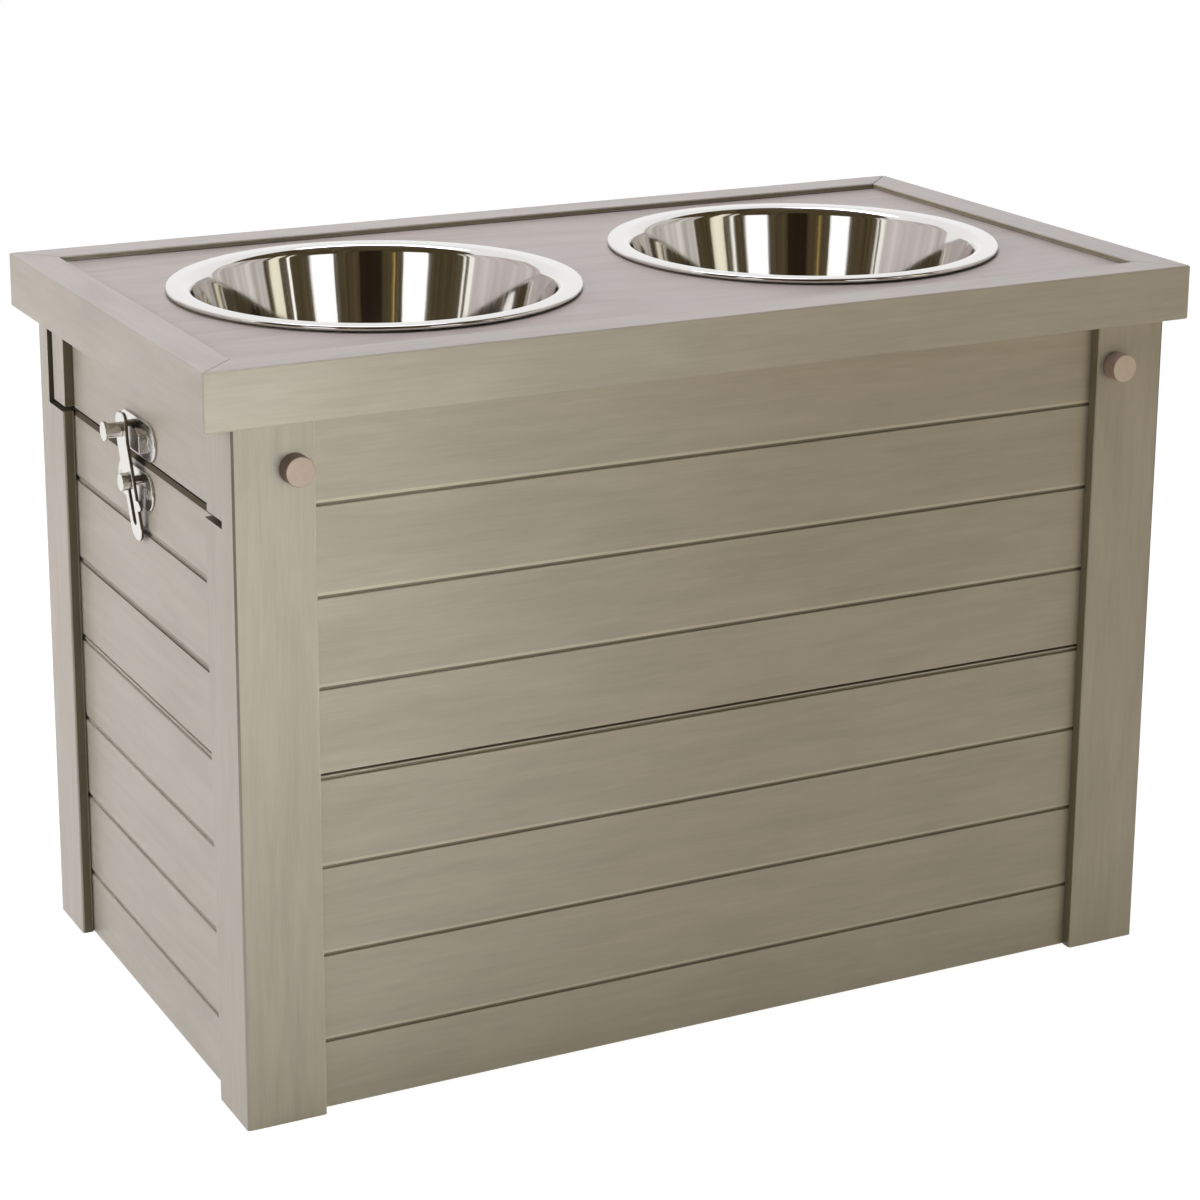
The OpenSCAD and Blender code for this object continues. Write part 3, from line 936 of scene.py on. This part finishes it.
@dataclass
class Bowls:
    """The two spun steel bowls, each hanging by its rim in the lid's top."""

    finish: Material
    mouth_r: float = 101.5
    rim_r: float = 116.5
    # The rolled edge curls under and stands on the lid a little further in
    bead_r: float = 1.4
    curl: float = 2.4
    rim_z: float = 3.6
    lip_r: float = 6.5
    sheet: float = 1.2
    depth: float = 68.0
    toe_r: float = 20.0
    # How far the wall leans out from upright
    lean_deg: float = 15.0
    wall_steps: int = 8
    segments: int = 256
    # The base lies higher than the toe's low ring, and higher still in its middle. It
    # comes to the first height at this share of the way out to the toe.
    base_rise: float = 1.2
    crown_rise: float = 1.5
    crown_share: float = 0.55

    def arc(
        self, centre: Point, radius: float, start: float, end: float, steps: int
    ) -> list[Point]:
        """Draws part of a circle.

        Args:
            centre: The circle's centre.
            radius: Its radius.
            start: First angle in degrees.
            end: Last angle in degrees.
            steps: Stretches between them.

        Returns:
            The points from start to end.
        """
        turns = [
            math.radians(start + (end - start) * i / steps) for i in range(steps + 1)
        ]
        return [
            (centre[0] + radius * math.cos(t), centre[1] + radius * math.sin(t))
            for t in turns
        ]

    def profile(self) -> list[Point]:
        """Half section of a bowl from the base's middle, inside, rim and outside.

        The wall is straight and runs smoothly into the lip and the toe.

        Returns:
            Radius and height of each point, in metres.
        """
        lean = math.radians(self.lean_deg)
        lip = (self.mouth_r + self.lip_r, self.rim_z - self.lip_r)
        toe_z = self.toe_r - self.depth
        wall_top = (
            lip[0] - self.lip_r * math.cos(lean), lip[1] + self.lip_r * math.sin(lean)
        )
        foot_z = toe_z - self.toe_r * math.sin(lean)
        foot_x = wall_top[0] - (wall_top[1] - foot_z) * math.tan(lean)
        toe = (foot_x - self.toe_r * math.cos(lean), toe_z)
        bead = (self.rim_r - self.bead_r, self.rim_z - self.bead_r)
        shares = [i / self.wall_steps for i in range(1, self.wall_steps)]
        wall = [
            (
                foot_x + (wall_top[0] - foot_x) * share,
                foot_z + (wall_top[1] - foot_z) * share,
            )
            for share in shares
        ]
        inside = [
            (0.0, -self.depth + self.crown_rise),
            (toe[0] * self.crown_share, -self.depth + self.base_rise),
        ]
        inside += self.arc(toe, self.toe_r, -90, -self.lean_deg, 20)
        inside += wall
        inside += self.arc(lip, self.lip_r, 180 - self.lean_deg, 90, 18)
        rim = self.arc(bead, self.bead_r, 84, -90, 18)
        outside = [
            (bead[0] - self.curl, 0.0),
            (bead[0] - self.curl - self.sheet, 0.0),
            (bead[0] - self.curl - self.sheet, self.rim_z - self.sheet),
        ]
        outside += self.arc(lip, self.lip_r - self.sheet, 90, 180 - self.lean_deg, 12)
        outside += self.arc(toe, self.toe_r + self.sheet, -self.lean_deg, -90, 20)
        outside += [
            (toe[0] * self.crown_share, -self.depth + self.base_rise - self.sheet),
            (0.0, -self.depth + self.crown_rise - self.sheet),
        ]
        return [(x * MM, z * MM) for x, z in inside + rim + outside]

    def build(self) -> list[Object]:
        """Builds both bowls where their CAD nodes are."""
        pieces = []
        for side in LEFT_RIGHT:
            node = f"bowl_{side}"
            low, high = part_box(node)
            at = Vector(
                ((low.x + high.x) / 2, (low.y + high.y) / 2, high.z - self.rim_z * MM)
            )
            mesh = lathe(f"{node}_spun", self.profile(), self.segments)
            mesh.materials.append(self.finish)
            piece = new_object(f"{node}_spun", mesh, at)
            piece.data.set_sharp_from_angle(angle=math.radians(60))
            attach(piece, node)
            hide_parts(node)
            pieces.append(piece)
        return pieces


# ------------------------------------------------------------------ pegs


@dataclass
class Pegs:
    """The locking pegs, each with an eased head and a shank."""

    # The sides of the heads are painted darker and browner than their faces, as painted
    # shade: for the left and right pegs, the finish of the faces and that of the sides
    finishes: Mapping[str, tuple[Material, Material]]
    head_r: float = 8.0
    head_l: float = 10.0
    shank_r: float = 5.0
    ease: float = 0.9
    segments: int = 64
    # Faces whose normal rises less than this along the peg belong to its side
    side_below: float = 0.6

    def build(self) -> list[Object]:
        """Builds the four pegs where their CAD nodes are."""
        pieces = []
        for end in FRONT_REAR:
            for side in LEFT_RIGHT:
                node = f"peg_{end}_{side}"
                low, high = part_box(node)
                length = high.y - low.y
                head = [
                    (0.0, length),
                    (self.head_r * MM, length),
                    (self.head_r * MM, length - self.head_l * MM),
                    (self.shank_r * MM, length - self.head_l * MM),
                    (self.shank_r * MM, 0.0),
                    (0.0, 0.0),
                ]
                mesh = lathe(
                    f"{node}_moulded", rounded(head, self.ease * MM, 4), self.segments
                )
                for material in self.finishes[side]:
                    mesh.materials.append(material)
                for face in mesh.polygons:
                    face.material_index = int(abs(face.normal.z) < self.side_below)
                outward = -1 if end == "front" else 1
                inner_y = high.y if end == "front" else low.y
                piece = new_object(
                    f"{node}_moulded", mesh,
                    Vector(((low.x + high.x) / 2, inner_y, (low.z + high.z) / 2)),
                )
                piece.rotation_euler = (-outward * math.pi / 2, 0, 0)
                weight_normals(piece)
                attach(piece, node)
                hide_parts(node)
                pieces.append(piece)
        return pieces


# ------------------------------------------------------------------ metalwork


@dataclass
class Metalwork:
    """Latches and screws, eased from their CAD solids."""

    latch: Material
    bar_shade: Material
    screw: Material
    # How far edges are eased: tumbled plates, turned studs and knobs, screws
    plate_ease_mm: float = 0.5
    turned_ease_mm: float = 0.4
    screw_ease_mm: float = 0.2

    def build(self) -> list[Object]:
        """Builds the latches and every screw."""
        pieces = []
        # All but a bar's face and its eased edges, which point away from the box, get
        # the painted shade
        behind = Trim(self.bar_shade, IN_X, 100.0)
        plate = (self.latch, "latch_steel", self.plate_ease_mm)
        turned = (self.latch, "latch_steel", self.turned_ease_mm)
        screws = (self.screw, "screw_steel", self.screw_ease_mm)
        plan = [
            ("cleat_screws", "box", *screws),
            ("batten_screws", "lid", *screws),
            ("skirt_screws", "lid", *screws),
        ]
        for side in LEFT_RIGHT:
            bar, stud = f"latch_bar_{side}", f"latch_stud_{side}"
            plan += [
                (f"keeper_{side}", "lid", *plate),
                (f"keeper_screws_{side}", "lid", *screws),
                (f"latch_plate_{side}", "box", *plate),
                (f"plate_screws_{side}", "box", *screws),
                (stud, stud, *turned),
                (bar, bar, *plate),
                (f"latch_knob_{side}", bar, *turned),
            ]
        for node, body, finish, slot, ease_mm in plan:
            piece = eased_board(
                node, f"{node}_metal", Edging(ease_mm, 3, shortest_mm=0.0, turn_deg=40)
            )
            dress(piece, node, finish, (behind,) if "latch_bar" in node else ())
            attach(piece, body)
            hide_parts(node)
            pieces.append(piece)
        return pieces


# ------------------------------------------------------------------ studio


@dataclass(frozen=True)
class Softbox:
    """A soft studio lamp that aims at a point of the feeder."""

    name: str
    place: tuple[float, float, float]
    aim: tuple[float, float, float]
    size: Point
    watts: float
    colour: str = "#FFFFFF"
    spread_deg: float = 180.0

    def build(self) -> Object:
        """Hangs the lamp."""
        lamp = bpy.data.lights.new(self.name, "AREA")
        lamp.shape = "RECTANGLE"
        lamp.size, lamp.size_y = self.size
        lamp.energy = self.watts
        lamp.spread = math.radians(self.spread_deg)
        lamp.color = linear(self.colour)[:3]
        obj = bpy.data.objects.new(self.name, lamp)
        bpy.context.scene.collection.objects.link(obj)
        obj.location = self.place
        away = Vector(self.aim) - Vector(self.place)
        obj.rotation_euler = away.to_track_quat("-Z", "Y").to_euler()
        return obj


@dataclass(frozen=True)
class Card:
    """A glowing studio card or curtain that shows only in polished metal: painted
    reflection.
    """

    name: str
    place: tuple[float, float, float]
    aim: tuple[float, float, float]
    size: Point
    pale: str
    dark: str
    strength: float = 1.0
    fold_mm: float = 60.0

    def finish(self) -> Material:
        """Makes a glowing surface with soft upright folds, as bright as the studio
        shows it.
        """
        material, tree = blank_material(self.name)
        place = add_node(tree, "ShaderNodeTexCoord")
        drawn = add_node(tree, "ShaderNodeMapping", {
            "Vector": place.outputs["Object"],
            "Scale": (1 / (self.fold_mm * MM), 0.3, 0.3),
        })
        folds = add_node(tree, "ShaderNodeTexNoise", {
            "Vector": drawn.outputs[0], "Scale": 1.0, "Detail": 3.0,
        })
        tone = add_node(tree, "ShaderNodeMapRange", {
            "Value": folds.outputs["Fac"], "From Min": 0.35, "From Max": 0.65,
        })
        colour = add_node(
            tree, "ShaderNodeMix",
            {"Factor": tone.outputs[0], "A": linear(self.dark), "B": linear(self.pale)},
            data_type="RGBA",
        )
        glow = add_node(tree, "ShaderNodeEmission", {
            "Color": colour.outputs["Result"], "Strength": self.strength,
        })
        close_surface(tree, glow)
        return material

    def build(self) -> Object:
        """Hangs the card where only mirror rays meet it."""
        work = bmesh.new()
        bmesh.ops.create_grid(work, x_segments=2, y_segments=2, size=0.5)
        bmesh.ops.scale(work, vec=(*self.size, 1.0), verts=work.verts)
        mesh = mesh_from(self.name, work)
        mesh.materials.append(self.finish())
        card = new_object(self.name, mesh, Vector(self.place))
        away = Vector(self.aim) - Vector(self.place)
        card.rotation_euler = away.to_track_quat("Z", "Y").to_euler()
        for kind in ("camera", "diffuse", "transmission", "volume_scatter", "shadow"):
            setattr(card, f"visible_{kind}", False)
        return card


@dataclass
class Studio:
    """Floor, world, lamps and camera."""

    floor_half: float = 6.0
    # The paper lies just below the feet, so that the two don't shimmer
    floor_drop: float = 0.0002
    world_strength: float = 0.16
    strip_level: float = 0.75
    # Focal length in 1/1200 of the image's width, and the picture point that the
    # camera looks straight at
    focal_px: float = 3052.0
    straight_px: Point = (560.0, 420.0)
    frame_px: float = 1200.0
    camera_place: tuple[float, float, float] = (-0.7904, -1.5408, 0.7690)
    camera_right: tuple[float, float, float] = (0.89539, -0.44528, 0.00298)
    camera_up: tuple[float, float, float] = (0.10984, 0.22735, 0.9676)

    def softboxes(self) -> list[Softbox]:
        """Lists the lamps."""
        return [
            Softbox(
                "left_softbox", (-2.3, 0.7, 1.0), (-0.25, 0.0, 0.2), (1.0, 1.0),
                watts=24.8, colour="#FFFAFF",
            ),
            Softbox(
                "top_softbox", (0.0, 0.3, 2.2), (0.0, 0.0, 0.3), (1.2, 1.2), watts=24.8,
                colour="#F0E9FF",
            ),
            Softbox(
                "front_softbox", (0.9, -2.4, 0.3), (0.0, 0.0, 0.2), (1.2, 0.5),
                watts=9.5, colour="#FFF2C1",
            ),
            Softbox(
                "gridded_softbox", (-0.2, -2.3, 0.5), (-0.44, -0.16, 0.33), (0.4, 0.4),
                watts=0.52, colour="#F9FFFE", spread_deg=20.0,
            ),
        ]

    def cards(self) -> list[Card]:
        """Lists the cards and curtains that the polished metal shows."""
        brown, snow = ("#63573D", "#2D2317"), ("#FFFFFF", "#F4F4F2")
        pearl, sand = ("#FFFFFF", "#F4EEDC"), ("#F4EEDC", "#DCD4BC")
        # The strips stand at the height that the bowls' walls mirror
        z = self.strip_level
        bowls = (0.0, 0.1, z)
        return [
            Card(
                "front_curtain", (0.9, -1.9, 1.2), (0.9, 0.0, 1.2), (5.2, 2.5), *brown
            ),
            Card(
                "left_curtain", (-1.75, -1.0, 1.2), (0.0, -1.0, 1.2), (2.0, 2.5), *brown
            ),
            Card(
                "ceiling_flag", (0.0, -1.22, 2.05), (0.0, -1.22, 0.0), (5.0, 3.35),
                *brown,
            ),
            Card("floor_flag", (0.8, -1.5, 0.01), (0.8, -1.5, 1.0), (5.0, 0.9), *brown),
            Card(
                "right_grey_card", (1.9, -0.3, 1.0), (0.0, 0.0, 1.0), (1.9, 2.0),
                "#E6E2DD", "#A8A19A", fold_mm=260.0,
            ),
            Card(
                "left_grey_card", (-1.45, 1.05, 1.1), (0.0, 0.3, 1.1), (2.1, 1.6),
                "#DAD2D1", "#B9AFAD", fold_mm=300.0,
            ),
            Card("white_strip_front", (0.21, -1.39, z), bowls, (0.42, 0.5), *snow, 1.5),
            Card("white_strip_left", (-0.98, -0.66, z), bowls, (0.33, 0.5), *snow, 1.5),
            Card("cream_strip_right", (0.56, -0.58, z), bowls, (0.13, 0.8), *sand, 1.3),
            Card(
                "thin_strip_right", (0.46, -0.74, z), bowls, (0.035, 0.8), *pearl, 1.4
            ),
            Card("thin_strip_left", (-1.07, -0.03, z), bowls, (0.03, 0.7), *pearl, 1.2),
            Card(
                "second_thin_strip_left", (-1.08, 0.06, z), bowls, (0.05, 0.7), *pearl,
                1.2,
            ),
            Card(
                "dark_gap", (-0.8, -1.8, 1.2), (0.0, 0.1, 1.2), (0.55, 2.0), "#2E2418",
                "#1E160E",
            ),
            Card(
                "warm_line", (-1.02, -1.2, z), bowls, (0.03, 0.7), "#E2C476", "#B8964E",
                1.0,
            ),
        ]

    def seen(self, tree: NodeTree) -> NodeSocket:
        """Tells camera, mirror and glass rays from the rest.

        Args:
            tree: The tree that takes the nodes.

        Returns:
            1 for a ray that shows the background, otherwise 0.
        """
        path = add_node(tree, "ShaderNodeLightPath")
        total = path.outputs["Is Camera Ray"]
        for kind in ("Is Glossy Ray", "Is Transmission Ray"):
            total = add_node(
                tree,
                "ShaderNodeMath",
                {0: total, 1: path.outputs[kind]},
                operation="MAXIMUM",
            ).outputs[0]
        return total

    def floor_finish(self) -> Material:
        """White seamless paper that shows white and keeps a faint shadow."""
        material, tree = blank_material("white_studio_paper")
        fibre = add_node(
            tree, "ShaderNodeTexNoise", {"Scale": 1 / (2.0 * MM), "Detail": 2.0}
        )
        paper = add_node(
            tree, "ShaderNodeMix",
            {
                "Factor": fibre.outputs["Fac"], "A": linear("#F4ECDC"),
                "B": linear("#F8F0E2"),
            },
            data_type="RGBA",
        )
        matt = add_node(
            tree, "ShaderNodeBsdfDiffuse", {"Color": paper.outputs["Result"]}
        )
        faint = add_node(tree, "ShaderNodeBsdfDiffuse", {"Color": linear("#8C8C8C")})
        glow = add_node(
            tree, "ShaderNodeEmission", {"Color": linear("#FFFFFF"), "Strength": 0.95}
        )
        shown = add_node(
            tree, "ShaderNodeAddShader", {0: faint.outputs[0], 1: glow.outputs[0]}
        )
        mixed = add_node(tree, "ShaderNodeMixShader", {
            0: self.seen(tree), 1: matt.outputs[0], 2: shown.outputs[0],
        })
        close_surface(tree, mixed)
        return material

    def floor(self) -> Object:
        """Lays the floor."""
        work = bmesh.new()
        bmesh.ops.create_grid(work, x_segments=8, y_segments=8, size=self.floor_half)
        mesh = mesh_from("studio_floor", work)
        mesh.materials.append(self.floor_finish())
        floor = new_object("studio_floor", mesh, Vector((0, 0, -self.floor_drop)))
        return floor

    def world(self) -> None:
        """Sets an even pale surround that shows as white."""
        world = bpy.data.worlds.new("studio_surround")
        bpy.context.scene.world = world
        world.use_nodes = True
        tree = world.node_tree
        tree.nodes.clear()
        strength = add_node(tree, "ShaderNodeMapRange", {
            "Value": self.seen(tree), "To Min": self.world_strength, "To Max": 1.0,
        })
        surround = add_node(tree, "ShaderNodeBackground", {
            "Color": linear("#FFFFFF"), "Strength": strength.outputs[0],
        })
        add_node(tree, "ShaderNodeOutputWorld", {"Surface": surround.outputs[0]})

    def camera(self) -> Object:
        """Sets the camera at the photograph's viewing angle."""
        data = bpy.data.cameras.new("studio_camera")
        data.sensor_width = 36.0
        data.lens = self.focal_px / self.frame_px * data.sensor_width
        data.shift_x = (self.frame_px / 2 - self.straight_px[0]) / self.frame_px
        data.shift_y = (self.straight_px[1] - self.frame_px / 2) / self.frame_px
        data.clip_start, data.clip_end = 0.05, 60.0
        camera = bpy.data.objects.new("studio_camera", data)
        bpy.context.scene.collection.objects.link(camera)
        right = Vector(self.camera_right).normalized()
        back = right.cross(Vector(self.camera_up)).normalized()
        up = back.cross(right)
        turn = Matrix((right, up, back)).transposed().to_4x4()
        camera.matrix_world = Matrix.Translation(self.camera_place) @ turn
        bpy.context.scene.camera = camera
        return camera

    def build(self) -> None:
        """Sets up the whole studio."""
        self.camera()
        self.floor()
        self.world()
        for item in (*self.softboxes(), *self.cards()):
            item.build()
        view = bpy.context.scene.view_settings
        view.view_transform = "Standard"


# ------------------------------------------------------------------ whole


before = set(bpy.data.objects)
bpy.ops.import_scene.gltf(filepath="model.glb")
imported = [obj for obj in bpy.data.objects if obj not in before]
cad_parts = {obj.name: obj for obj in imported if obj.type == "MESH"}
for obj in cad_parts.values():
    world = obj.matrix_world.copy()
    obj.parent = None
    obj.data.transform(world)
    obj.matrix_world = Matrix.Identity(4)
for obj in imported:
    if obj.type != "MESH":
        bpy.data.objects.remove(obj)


def report(pieces: Iterable[Object]) -> None:
    """Logs each piece with the size of its mesh.

    Args:
        pieces: The pieces just built.
    """
    for piece in pieces:
        log.info("%s: %d faces", piece.name, len(piece.data.polygons))


def main() -> None:
    logging.basicConfig(level=logging.INFO, format="%(name)s %(message)s")
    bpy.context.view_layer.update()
    finishes = Finishes()
    Studio().build()
    report(StorageBox(finishes).build())
    report(Lid(finishes).build())
    report(Bowls(finishes.bowl).build())
    pegs = Pegs(
        {
            "left": (finishes.peg, finishes.peg_side),
            "right": (finishes.pale_peg, finishes.pale_peg_side),
        }
    )
    report(pegs.build())
    report(Metalwork(finishes.latch, finishes.bar_shade, finishes.screw).build())


if __name__ == "__main__":
    main()
